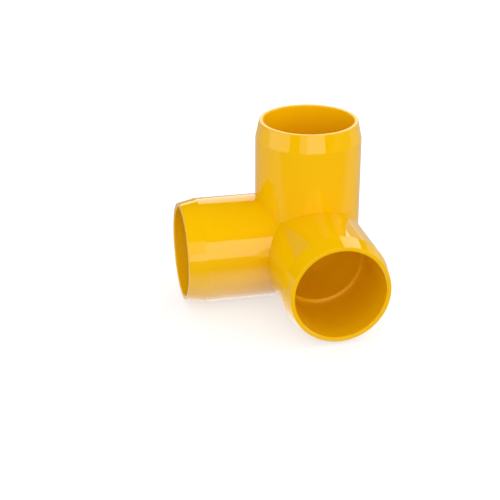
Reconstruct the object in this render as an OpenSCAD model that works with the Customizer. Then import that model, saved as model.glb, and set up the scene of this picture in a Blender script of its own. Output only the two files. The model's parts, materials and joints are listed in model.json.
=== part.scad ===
// Three-way corner elbow: three round sockets at right angles, moulded as one piece of rigid plastic.
// The centre lines cross at the origin. The sockets open along -X, -Y and +Z, and the ball corner faces away.

/* [Fit] */
// Nominal diameter that the sockets are made for
fit_d = 33.4; // [20:0.1:60]
// Gap all round that makes the straight part of the socket a sliding fit
slip_gap = 0.03; // [0.01:0.01:0.2]

/* [Socket] */
// Depth from the rim to the stop
socket_depth = 28.6; // [20:0.1:50]
// Wall round the straight part of the socket
socket_wall = 3.1; // [2.8:0.1:5]
// Width of the ledge that is the stop
stop_ledge = 1.2; // [0.6:0.1:2]
// Length of barrel between the outside of the neighbouring sockets and the stop
neck = 0.7; // [0.2:0.1:10]

/* [Mouth] */
// Length of the outside bevel, along the socket
bevel_length = 6.7; // [2:0.1:12]
// How much the outside bevel takes off the radius at the rim
bevel_drop = 1.4; // [0.4:0.1:1.6]
// Length of the tapered way in, which leads to the straight part
taper_length = 8; // [4:0.1:15]
// How much wider the taper's radius is at the rim
taper_gain = 0.1; // [0.05:0.01:0.25]
// Chamfer on the rim's inside edge
lead_in = 0.4; // [0.2:0.1:0.6]
// Rounding of the rim's outside edge
rim_round = 0.3; // [0.1:0.05:0.4]

/* [Hidden] */
$fn = 128;

overrun = 1;
round_steps = 4;
socket_r = fit_d / 2 + slip_gap;
mouth_r = socket_r + taper_gain;
passage_r = socket_r - stop_ledge;
barrel_r = socket_r + socket_wall;
rim_r = barrel_r - bevel_drop;
stop_at = barrel_r + neck;
reach = stop_at + socket_depth;
bevel_lean = atan(bevel_drop / bevel_length);

// Where each socket points, as a turn from +Z
socket_turns = [[0, -90, 0], [90, 0, 0], [0, 0, 0]];

// Arc that rounds the corner between the rim's flat face and the bevel
function rim_arc() =
    let (centre = [rim_r - rim_round * tan(45 - bevel_lean / 2), reach - rim_round])
    [for (i = [0 : round_steps])
        let (a = bevel_lean + (90 - bevel_lean) * i / round_steps)
        centre + rim_round * [cos(a), sin(a)]];

// Puts its children on each of the three centre lines
module on_each_axis() {
    for (turn = socket_turns)
        rotate(turn) children();
}

// Outside of one barrel, from the crossing out to the rim, with the bevel round its mouth
module barrel() {
    rotate_extrude()
        polygon(concat(
            [[0, 0], [barrel_r, 0], [barrel_r, reach - bevel_length]],
            rim_arc(),
            [[0, reach]]
        ));
}

// Space inside one barrel: the passage, the stop, the straight seat, the taper and the chamfer
module bore() {
    rotate_extrude()
        polygon([
            [0, 0],
            [passage_r, 0],
            [passage_r, stop_at],
            [socket_r, stop_at],
            [socket_r, reach - taper_length],
            [mouth_r, reach - lead_in],
            [mouth_r + lead_in + overrun, reach + overrun],
            [0, reach + overrun]
        ]);
}

// One moulding: three barrels that meet in mitres, and a ball for the outside corner
module three_way_elbow() {
    color("gold")
        difference() {
            union() {
                sphere(r = barrel_r);
                on_each_axis() barrel();
            }
            union() {
                sphere(r = passage_r);
                on_each_axis() bore();
            }
        }
}

three_way_elbow();
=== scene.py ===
import json
from math import atan2, ceil, cos, pi, radians, sin, tan

import bmesh
import bpy
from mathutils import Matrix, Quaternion, Vector


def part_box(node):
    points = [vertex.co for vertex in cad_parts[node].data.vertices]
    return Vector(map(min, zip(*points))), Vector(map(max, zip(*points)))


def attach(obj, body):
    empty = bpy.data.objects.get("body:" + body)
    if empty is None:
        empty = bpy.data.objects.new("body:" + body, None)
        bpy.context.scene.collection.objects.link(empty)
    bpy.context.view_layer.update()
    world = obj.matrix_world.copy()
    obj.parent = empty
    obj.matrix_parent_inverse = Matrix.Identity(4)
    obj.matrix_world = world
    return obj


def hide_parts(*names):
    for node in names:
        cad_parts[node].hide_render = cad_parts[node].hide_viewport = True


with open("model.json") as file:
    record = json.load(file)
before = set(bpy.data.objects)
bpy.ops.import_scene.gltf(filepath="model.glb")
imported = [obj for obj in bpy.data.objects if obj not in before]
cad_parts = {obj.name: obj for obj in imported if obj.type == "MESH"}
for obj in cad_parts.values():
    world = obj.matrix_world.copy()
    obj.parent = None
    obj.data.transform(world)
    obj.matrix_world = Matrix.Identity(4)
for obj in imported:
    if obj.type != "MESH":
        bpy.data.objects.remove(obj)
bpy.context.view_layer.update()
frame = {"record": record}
scene = bpy.context.scene
scene.view_settings.view_transform = "Standard"
mm = 0.001
print("frame loaded")


def hexToLinear(hexColour):
    channels = [int(hexColour[i:i + 2], 16) / 255 for i in (1, 3, 5)]
    linear = [c / 12.92 if c <= 0.04045 else ((c + 0.055) / 1.055) ** 2.4 for c in channels]
    return (*linear, 1.0)


def addNode(tree, kind, inputs=None, **settings):
    # a socket given as an input is linked, anything else becomes the input's value
    node = tree.nodes.new(kind)
    for setting, value in settings.items():
        setattr(node, setting, value)
    for name, value in (inputs or {}).items():
        if isinstance(value, bpy.types.NodeSocket):
            tree.links.new(value, node.inputs[name])
        else:
            node.inputs[name].default_value = value
    return node


# Camera, at the photograph's angle: from the front, a little left, and above
photoCamera = {
    "place": Vector((-115.4, -425.1, 195.5)) * mm,
    "looksAlong": Vector((0.1948, 0.8895, -0.4133)),
    "lens": 89.4,                 # on a 36 mm sensor
}

cameraData = bpy.data.cameras.new("photoCamera")
cameraData.lens = photoCamera["lens"]
cameraData.clip_start = 10 * mm
camera = bpy.data.objects.new("photoCamera", cameraData)
camera.location = photoCamera["place"]
camera.rotation_mode = "QUATERNION"
camera.rotation_quaternion = photoCamera["looksAlong"].to_track_quat("-Z", "Y")
scene.collection.objects.link(camera)
scene.camera = camera
print("camera placed")


# Elbow: three sockets in one moulding, with the roundings that the mould leaves on every edge
elbow = {
    "node": "three_way_elbow",
    "slot": "moulded_pvc",
    "bevelLength": 6.7 * mm,      # outside bevel round each mouth, along the socket
    "bevelDrop": 1.4 * mm,        # what the bevel takes off the radius
    "taperGain": 0.1 * mm,        # how much wider the way in is at the rim
    "leadIn": 0.4 * mm,           # chamfer on the rim's inside edge
    "stopLedge": 1.2 * mm,        # the ledge at the bottom of the socket
    "bevelRound": 0.5 * mm,
    "rimRound": 0.3 * mm,
    "leadInRound": 0.1 * mm,
    "taperRound": 8 * mm,
    "ledgeRound": 0.25 * mm,
    "valleyRound": 0.15 * mm,     # where the barrels meet outside
    "ridgeRound": 0.15 * mm,      # where the passages meet inside
    "stepsAround": 256,           # a multiple of 8, so that the valleys fall on it
    "stepsAcrossRound": 4,
    "ringGap": 4 * mm,
    "drawStretch": 150,           # how long the bore's draw marks are for their width
}

boxLow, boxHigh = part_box(elbow["node"])
socketMount = next(m for m in frame["record"]["mounts"] if m["name"] == "socket_up")
socketAxes = [Vector((-1, 0, 0)), Vector((0, -1, 0)), Vector((0, 0, 1))]
barrelRadius = boxHigh.x
reach = boxHigh.z                                 # from the crossing of the centre lines to a rim
seatRadius = socketMount["dims"]["r_mm"] * mm
stopAt = Vector(socketMount["pos_m"]).length
taperStart = stopAt + socketMount["dims"]["length_mm"] * mm
passageRadius = seatRadius - elbow["stopLedge"]


def roundedCorner(before, corner, after, size):
    # points and normals of the arc between two lines; the skin faces right of the way along them
    wayIn, wayOut = (corner - before).normalized(), (after - corner).normalized()
    turn = atan2(wayIn.cross(wayOut), wayIn.dot(wayOut))
    bulge = size if turn > 0 else -size
    right = Vector((wayIn.y, -wayIn.x))
    centre = corner - wayIn * size * tan(abs(turn) / 2) - right * bulge
    arc = []
    for i in range(elbow["stepsAcrossRound"] + 1):
        a = turn * i / elbow["stepsAcrossRound"]
        normal = Vector((right.x * cos(a) - right.y * sin(a), right.x * sin(a) + right.y * cos(a)))
        arc.append((centre + normal * bulge, normal))
    return arc


def socketProfile():
    # half-section up the outside, over the rim and down the bore, as radius and height with normals
    rimHeight = reach - elbow["leadIn"]
    mouthRadius = seatRadius + elbow["taperGain"]
    corners = [
        ((barrelRadius, 0), 0),
        ((barrelRadius, reach - elbow["bevelLength"]), elbow["bevelRound"]),
        ((barrelRadius - elbow["bevelDrop"], reach), elbow["rimRound"]),
        ((mouthRadius + elbow["leadIn"], reach), elbow["leadInRound"]),
        ((mouthRadius, rimHeight), elbow["leadInRound"]),
        ((seatRadius, taperStart), elbow["taperRound"]),
        ((seatRadius, stopAt), elbow["ledgeRound"]),
        ((passageRadius, stopAt), elbow["ledgeRound"]),
        ((passageRadius, 0), 0),
    ]
    places = [Vector(place) for place, size in corners]
    profile = []
    for i in range(1, len(places) - 1):
        arc = roundedCorner(places[i - 1], places[i], places[i + 1], corners[i][1])
        if profile:
            profile += straightSteps(profile[-1], arc[0])
        profile += arc
    return profile


def straightSteps(start, end):
    # points between two places on one straight line, so that no quad is long
    steps = ceil((end[0] - start[0]).length / elbow["ringGap"])
    return [(start[0].lerp(end[0], i / steps), start[1]) for i in range(1, steps)]


def valleyHeight(angle, radius, size):
    # where a barrel's wall starts: two equal barrels meet in a mitre, and a ball of this size rolls along it
    return (radius + size) * max(cos(angle), sin(angle), 0)


def sphereTriangle(centre, corners, radius, steps, facing):
    # rows of a patch of a ball between three directions that stand equally far apart
    opening = corners[0].angle(corners[1])
    rows = []
    for i in range(steps + 1):
        row = []
        for j in range(steps + 1 - i):
            shares = (i, j, steps - i - j)
            spoke = sum((sin(opening * s / steps) * c for s, c in zip(shares, corners)), Vector())
            spoke.normalize()
            row.append((centre + spoke * radius, spoke * facing))
        rows.append(row)
    return rows


def barrelRows(along, toSecond, toThird, profile):
    # one socket, from the valley outside, over the rim, to the ridge inside
    steps = elbow["stepsAround"]
    firstHeight, lastHeight = profile[0][0].y, profile[-1][0].y
    straightRings = ceil(firstHeight / elbow["ringGap"])
    passageRings = ceil(lastHeight / elbow["ringGap"])
    rows = []
    for j in range(steps + 1):
        angle = 2 * pi * j / steps
        spoke = toSecond * cos(angle) + toThird * sin(angle)
        valley = valleyHeight(angle, barrelRadius, elbow["valleyRound"])
        ridge = valleyHeight(angle, passageRadius, elbow["ridgeRound"])
        row = []
        for i in range(straightRings):
            height = valley + (firstHeight - valley) * i / straightRings
            row.append((spoke * barrelRadius + along * height, spoke))
        for place, normal in profile:
            row.append((spoke * place.x + along * place.y, spoke * normal.x + along * normal.y))
        for i in range(1, passageRings + 1):
            height = lastHeight + (ridge - lastHeight) * i / passageRings
            row.append((spoke * passageRadius + along * height, -spoke))
        rows.append(row)
    return rows


def valleyRows(along, toSecond, toThird, radius, size, facing):
    # the rounding between two barrels, from the corner where all three meet to where they run together
    steps = elbow["stepsAround"] * 3 // 8
    rows = []
    for j in range(steps + 1):
        angle = radians(45) - radians(135) * j / steps
        centre = (radius + size) * ((along + toSecond) * cos(angle) + toThird * sin(angle))
        first = -(toSecond * cos(angle) + toThird * sin(angle))
        last = -(along * cos(angle) + toThird * sin(angle))
        opening = first.angle(last, 0)
        row = []
        for i in range(elbow["stepsAcrossRound"] + 1):
            share = i / elbow["stepsAcrossRound"]
            spoke = first.lerp(last, share)
            if opening > 0:
                spoke = first * sin((1 - share) * opening) + last * sin(share * opening)
            spoke.normalize()
            row.append((centre + spoke * size, spoke * facing))
        rows.append(row)
    return rows


def addSheet(skin, rows, layers, along=None, inBore=0):
    # a sheet of faces through rows of (place, normal), each face turned to its normals;
    # along is the way that the core is drawn out of this socket, for the marks it leaves
    corners = []
    for row in rows:
        made = [skin.verts.new(place) for place, normal in row]
        for vert, (place, normal) in zip(made, row):
            vert[layers["skinNormal"]] = normal
        corners.append(made)
    for near, far in zip(corners, corners[1:]):
        for i in range(len(near) - 1):
            if len(near) == len(far):
                faces = [(near[i], near[i + 1], far[i + 1], far[i])]
            else:
                faces = [(near[i], near[i + 1], far[i])]
                if i < len(far) - 1:
                    faces.append((near[i + 1], far[i + 1], far[i]))
            for corner in faces:
                face = skin.faces.new(corner)
                face.normal_update()
                if face.normal.dot(corner[0][layers["skinNormal"]]) < 0:
                    face.normal_flip()
                for loop in face.loops:
                    place = loop.vert.co.copy()
                    if along:
                        across = place - along * place.dot(along)
                        inBore = 1 if across.length < seatRadius + 1.5 * elbow["taperGain"] else 0
                        place = across + along * place.dot(along) / elbow["drawStretch"]
                    loop[layers["drawPlace"]] = place
                    loop[layers["boreWall"]] = inBore


def makeElbow():
    skin = bmesh.new()
    layers = {
        "skinNormal": skin.verts.layers.float_vector.new("skinNormal"),
        "drawPlace": skin.loops.layers.float_vector.new("drawPlace"),
        "boreWall": skin.loops.layers.float.new("boreWall"),
    }
    profile = socketProfile()
    ballSteps = elbow["stepsAround"] // 4
    for k in range(3):
        along, toSecond, toThird = (socketAxes[(k + i) % 3] for i in range(3))
        addSheet(skin, barrelRows(along, toSecond, toThird, profile), layers, along)
        for radius, size, facing, inBore in skinSides:
            addSheet(skin, valleyRows(along, toSecond, toThird, radius, size, facing), layers, None, inBore)
    for radius, size, facing, inBore in skinSides:
        # the ball on the outside corner, and the small hollow where the three valleys meet
        outward = [-axis for axis in socketAxes]
        addSheet(skin, sphereTriangle(Vector(), outward, radius, ballSteps, -facing), layers, None, inBore)
        middle = sum(socketAxes, Vector()) * (radius + size) / 2 ** 0.5
        inward = [(axis - sum(socketAxes, Vector())) / 2 ** 0.5 for axis in socketAxes]
        addSheet(skin, sphereTriangle(middle, inward, size, elbow["stepsAcrossRound"], facing), layers, None, inBore)
    bmesh.ops.remove_doubles(skin, verts=skin.verts, dist=0.001 * mm)
    mesh = bpy.data.meshes.new("threeWayElbow")
    skin.to_mesh(mesh)
    skin.free()
    mesh.shade_smooth()
    normals = [item.vector for item in mesh.attributes["skinNormal"].data]
    mesh.normals_split_custom_set_from_vertices(normals)
    mesh.attributes.remove(mesh.attributes["skinNormal"])
    return bpy.data.objects.new("threeWayElbow", mesh)


skinSides = [
    (barrelRadius, elbow["valleyRound"], -1, 0),      # outside: the ball that rounds it rolls in the air
    (passageRadius, elbow["ridgeRound"], 1, 1),       # inside: it rolls in the wall
]
elbowPiece = makeElbow()
scene.collection.objects.link(elbowPiece)
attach(elbowPiece, "root")
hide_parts(elbow["node"])
print("elbow built:", len(elbowPiece.data.polygons), "faces")


# Rigid PVC, injection moulded in a polished mould: opaque, deep yellow, with a wet-looking gloss
# outside, and a little less of it on the bores, which the cores leave with faint draw marks
mouldedPvc = {
    "colour": "#f8bd00",
    "paleColour": "#f9c102",      # where the pigment lies thinner
    "ior": 1.5,
    "roughness": (0.045, 0.085),
    "boreRoughness": (0.16, 0.24),
    "flowScale": 18 * mm,         # clouds left by the melt's flow
    "waveSize": 3.5 * mm,         # faint waviness of a moulded skin
    "waveDepth": 0.005 * mm,
    "grainSize": 0.35 * mm,       # fine polish of the mould, drawn coarser than the real 0.05 mm
    "grainDepth": 0.00015 * mm,
    "drawSize": 0.35 * mm,        # width of a draw mark
    "drawDepth": 0.0004 * mm,
}


def makeMouldedPvc(values):
    material = bpy.data.materials.new("mouldedPvc")
    material.use_nodes = True
    tree = material.node_tree
    shader = tree.nodes["Principled BSDF"]
    shader.inputs["IOR"].default_value = values["ior"]
    place = addNode(tree, "ShaderNodeTexCoord").outputs["Object"]
    bore = addNode(tree, "ShaderNodeAttribute", attribute_name="boreWall").outputs["Fac"]
    drawPlace = addNode(tree, "ShaderNodeAttribute", attribute_name="drawPlace").outputs["Vector"]
    flow = addNode(tree, "ShaderNodeTexNoise", {"Vector": place, "Scale": 1 / values["flowScale"]})
    wave = addNode(tree, "ShaderNodeTexNoise", {"Vector": place, "Scale": 1 / values["waveSize"]})
    grain = addNode(tree, "ShaderNodeTexNoise", {"Vector": place, "Scale": 1 / values["grainSize"]})
    draw = addNode(tree, "ShaderNodeTexNoise", {"Vector": drawPlace, "Scale": 1 / values["drawSize"]})

    colour = addNode(tree, "ShaderNodeMix", {
        "Factor": flow.outputs["Fac"],
        "A": hexToLinear(values["colour"]),
        "B": hexToLinear(values["paleColour"]),
    }, data_type="RGBA")

    # gloss: clouded outside, streaked along the pull inside
    skinRoughness = addNode(tree, "ShaderNodeMapRange", {
        "Value": flow.outputs["Fac"],
        "From Min": 0.3,
        "From Max": 0.7,
        "To Min": values["roughness"][0],
        "To Max": values["roughness"][1],
    })
    boreRoughness = addNode(tree, "ShaderNodeMapRange", {
        "Value": draw.outputs["Fac"],
        "From Min": 0.3,
        "From Max": 0.7,
        "To Min": values["boreRoughness"][0],
        "To Max": values["boreRoughness"][1],
    })
    roughness = addNode(tree, "ShaderNodeMix", {
        "Factor": bore,
        "A": skinRoughness.outputs["Result"],
        "B": boreRoughness.outputs["Result"],
    })

    # relief: waves, then the mould's polish, then the draw marks where the bore is
    waves = addNode(tree, "ShaderNodeBump", {"Height": wave.outputs["Fac"], "Distance": values["waveDepth"]})
    polish = addNode(tree, "ShaderNodeBump", {
        "Height": grain.outputs["Fac"],
        "Distance": values["grainDepth"],
        "Normal": waves.outputs["Normal"],
    })
    marks = addNode(tree, "ShaderNodeBump", {
        "Height": draw.outputs["Fac"],
        "Distance": values["drawDepth"],
        "Strength": bore,
        "Normal": polish.outputs["Normal"],
    })
    tree.links.new(colour.outputs["Result"], shader.inputs["Base Color"])
    tree.links.new(roughness.outputs["Result"], shader.inputs["Roughness"])
    tree.links.new(marks.outputs["Normal"], shader.inputs["Normal"])
    return material


elbowPiece.data.materials.append(makeMouldedPvc(mouldedPvc))
print("moulded PVC made")


# Floor: a wide sheet of pale seamless paper, under the two lying sockets, with a painted glow close by and a painted
# shade ahead of the elbow that only reflections show
paperFloor = {
    "radius": 8.0,
    "colour": "#bababa",
    "cameraLift": 0.62,           # the even white that a lit paper sweep shows to the camera
    # painted reflection: in gloss only, the paper glows close by the elbow and when seen steeply, so the elbow's
    # underside reflects a paler floor than the lamps give
    "paintedGlossGlow": 1.8,             # how much paler it is in gloss, seen straight down and close by
    "glossNear": 35 * mm,
    "glossFar": 85 * mm,
    "glossSteep": 0.1,            # 0 is a look straight down on the paper, and 1 a look along it
    "glossShallow": 0.85,
    # painted shade: ahead of the elbow the paper turns darker in gloss only, so the elbow's front reflects a dimmer
    # floor than the lamps give
    "paintedGlossShade": "#5c5c5c",       # in gloss, ahead of the elbow: dim, so that its front stays deep yellow
    "paintedShadeFrom": -35 * mm,
    "paintedShadeFully": -75 * mm,
}


def makePaper(values):
    material = bpy.data.materials.new("seamlessPaper")
    material.use_nodes = True
    tree = material.node_tree
    tree.nodes.remove(tree.nodes["Principled BSDF"])
    rays = addNode(tree, "ShaderNodeLightPath")
    glossy = addNode(tree, "ShaderNodeMath", {
        0: rays.outputs["Is Glossy Ray"],
        1: rays.outputs["Is Transmission Ray"],
    }, operation="MAXIMUM")
    place = addNode(tree, "ShaderNodeTexCoord").outputs["Object"]
    ahead = addNode(tree, "ShaderNodeMapRange", {
        "Value": addNode(tree, "ShaderNodeSeparateXYZ", {"Vector": place}).outputs["Y"],
        "From Min": values["paintedShadeFully"],
        "From Max": values["paintedShadeFrom"],
        "To Min": 1,
        "To Max": 0,
    }, interpolation_type="SMOOTHSTEP")
    # painted shade for glossy rays ahead of the elbow
    dim = addNode(tree, "ShaderNodeMath", {
        0: glossy.outputs[0],
        1: ahead.outputs["Result"],
    }, operation="MULTIPLY")
    colour = addNode(tree, "ShaderNodeMix", {
        "Factor": dim.outputs[0],
        "A": hexToLinear(values["colour"]),
        "B": hexToLinear(values["paintedGlossShade"]),
    }, data_type="RGBA")
    matt = addNode(tree, "ShaderNodeBsdfDiffuse", {"Color": colour.outputs["Result"]})
    away = addNode(tree, "ShaderNodeVectorMath", {0: place}, operation="LENGTH").outputs["Value"]
    closeBy = addNode(tree, "ShaderNodeMapRange", {
        "Value": away,
        "From Min": values["glossNear"],
        "From Max": values["glossFar"],
        "To Min": 1,
        "To Max": 0,
    }, interpolation_type="SMOOTHSTEP")
    shallow = addNode(tree, "ShaderNodeLayerWeight", {"Blend": 0.5}).outputs["Facing"]
    steep = addNode(tree, "ShaderNodeMapRange", {
        "Value": shallow,
        "From Min": values["glossSteep"],
        "From Max": values["glossShallow"],
        "To Min": values["paintedGlossGlow"],
        "To Max": 0,
    }, interpolation_type="SMOOTHSTEP")
    # painted reflection: a glow for glossy rays only, strongest close by and when looking straight down at the paper
    paintedGlow = addNode(tree, "ShaderNodeMath", {
        0: closeBy.outputs["Result"],
        1: steep.outputs["Result"],
    }, operation="MULTIPLY")
    inGloss = addNode(tree, "ShaderNodeMath", {0: glossy.outputs[0], 1: paintedGlow.outputs[0]}, operation="MULTIPLY")
    lift = addNode(tree, "ShaderNodeMix", {
        "Factor": rays.outputs["Is Camera Ray"],
        "A": inGloss.outputs[0],
        "B": values["cameraLift"],
    })
    even = addNode(tree, "ShaderNodeEmission", {"Strength": lift.outputs[0]})
    both = addNode(tree, "ShaderNodeAddShader", {0: matt.outputs[0], 1: even.outputs[0]})
    tree.links.new(both.outputs[0], tree.nodes["Material Output"].inputs["Surface"])
    return material


bpy.ops.mesh.primitive_circle_add(vertices=96, radius=paperFloor["radius"], fill_type="NGON",
                                  location=(0, 0, boxLow.z))
floor = bpy.context.object
floor.name = "paperFloor"
floor.data.materials.append(makePaper(paperFloor))
print("floor laid")


# Studio: soft panels that stand round the elbow. Azimuth 0 is the front and 90 the right, in degrees
studio = {
    "distance": 1.2,
    "frontPanel": {"azimuth": 10, "elevation": 19.5, "wide": 24, "high": 37, "level": 1.95},
    "frontStrip": {"azimuth": -9.5, "elevation": 5.5, "wide": 15, "high": 15, "level": 2.0},
    "frontTop": {"azimuth": -9.5, "elevation": 27, "wide": 15, "high": 28, "level": 0.9},
    "frontWing": {"azimuth": -25, "elevation": 20, "wide": 16, "high": 42, "level": 0.85},
    "leftPanel": {"azimuth": -90, "elevation": 5, "wide": 70, "high": 16, "level": 1.2},
    "leftWing": {"azimuth": -65, "elevation": 28, "wide": 36, "high": 26, "level": 0.4},
    "rightPanel": {"azimuth": 75, "elevation": 22, "wide": 44, "high": 26, "level": 1.2},
    "highRight": {"azimuth": 100, "elevation": 50, "wide": 60, "high": 24, "level": 0.3},
    "backPanel": {"azimuth": 162, "elevation": 25, "wide": 45, "high": 26.5, "roll": -41, "level": 1.9},
    "backLeft": {"azimuth": -157, "elevation": 16, "wide": 20, "high": 24, "level": 0.16},
    "backWing": {"azimuth": 148, "elevation": 7, "wide": 28, "high": 16, "level": 0.42},
}


def addPanel(name, values):
    a, e = radians(values["azimuth"]), radians(values["elevation"])
    outward = Vector((sin(a) * cos(e), -cos(a) * cos(e), sin(e)))
    data = bpy.data.lights.new(name, "AREA")
    data.shape = "RECTANGLE"
    data.size = 2 * studio["distance"] * tan(radians(values["wide"] / 2))
    data.size_y = 2 * studio["distance"] * tan(radians(values["high"] / 2))
    data.energy = values["level"] * pi * data.size * data.size_y
    panel = bpy.data.objects.new(name, data)
    panel.location = outward * studio["distance"]
    panel.rotation_mode = "QUATERNION"
    roll = Quaternion((0, 0, 1), radians(values.get("roll", 0)))
    panel.rotation_quaternion = outward.to_track_quat("Z", "Y") @ roll
    panel.visible_camera = False
    scene.collection.objects.link(panel)


for name, values in studio.items():
    if isinstance(values, dict):
        addPanel(name, values)

# The air round the panels: white to the camera, an even soft light on matt surfaces,
# and in gloss the paleness of the floor up to the horizon, with a dark ceiling over it
studioAir = {
    "fill": 0.775,
    "horizon": 0.4,
    "paleUpTo": -1,               # degrees above the horizon
    "darkFrom": 2,
    "ceiling": 0.01,
}


def makeStudioAir(values):
    air = bpy.data.worlds.new("studioAir")
    air.use_nodes = True
    tree = air.node_tree
    rays = addNode(tree, "ShaderNodeLightPath")
    way = addNode(tree, "ShaderNodeTexCoord").outputs["Generated"]
    up = addNode(tree, "ShaderNodeSeparateXYZ", {"Vector": way}).outputs["Z"]
    inGloss = addNode(tree, "ShaderNodeMapRange", {
        "Value": up,
        "From Min": sin(radians(values["paleUpTo"])),
        "From Max": sin(radians(values["darkFrom"])),
        "To Min": values["horizon"],
        "To Max": values["ceiling"],
    }, interpolation_type="SMOOTHSTEP")
    glossy = addNode(tree, "ShaderNodeMath", {
        0: rays.outputs["Is Glossy Ray"],
        1: rays.outputs["Is Transmission Ray"],
    }, operation="MAXIMUM")
    soft = addNode(tree, "ShaderNodeMix", {"Factor": glossy.outputs[0], "A": values["fill"], "B": inGloss.outputs[0]})
    strength = addNode(tree, "ShaderNodeMix", {"Factor": rays.outputs["Is Camera Ray"], "A": soft.outputs[0], "B": 1})
    tree.links.new(strength.outputs[0], tree.nodes["Background"].inputs["Strength"])
    tree.nodes["Background"].inputs["Color"].default_value = hexToLinear("#ffffff")
    return air


scene.world = makeStudioAir(studioAir)
print("studio lit")
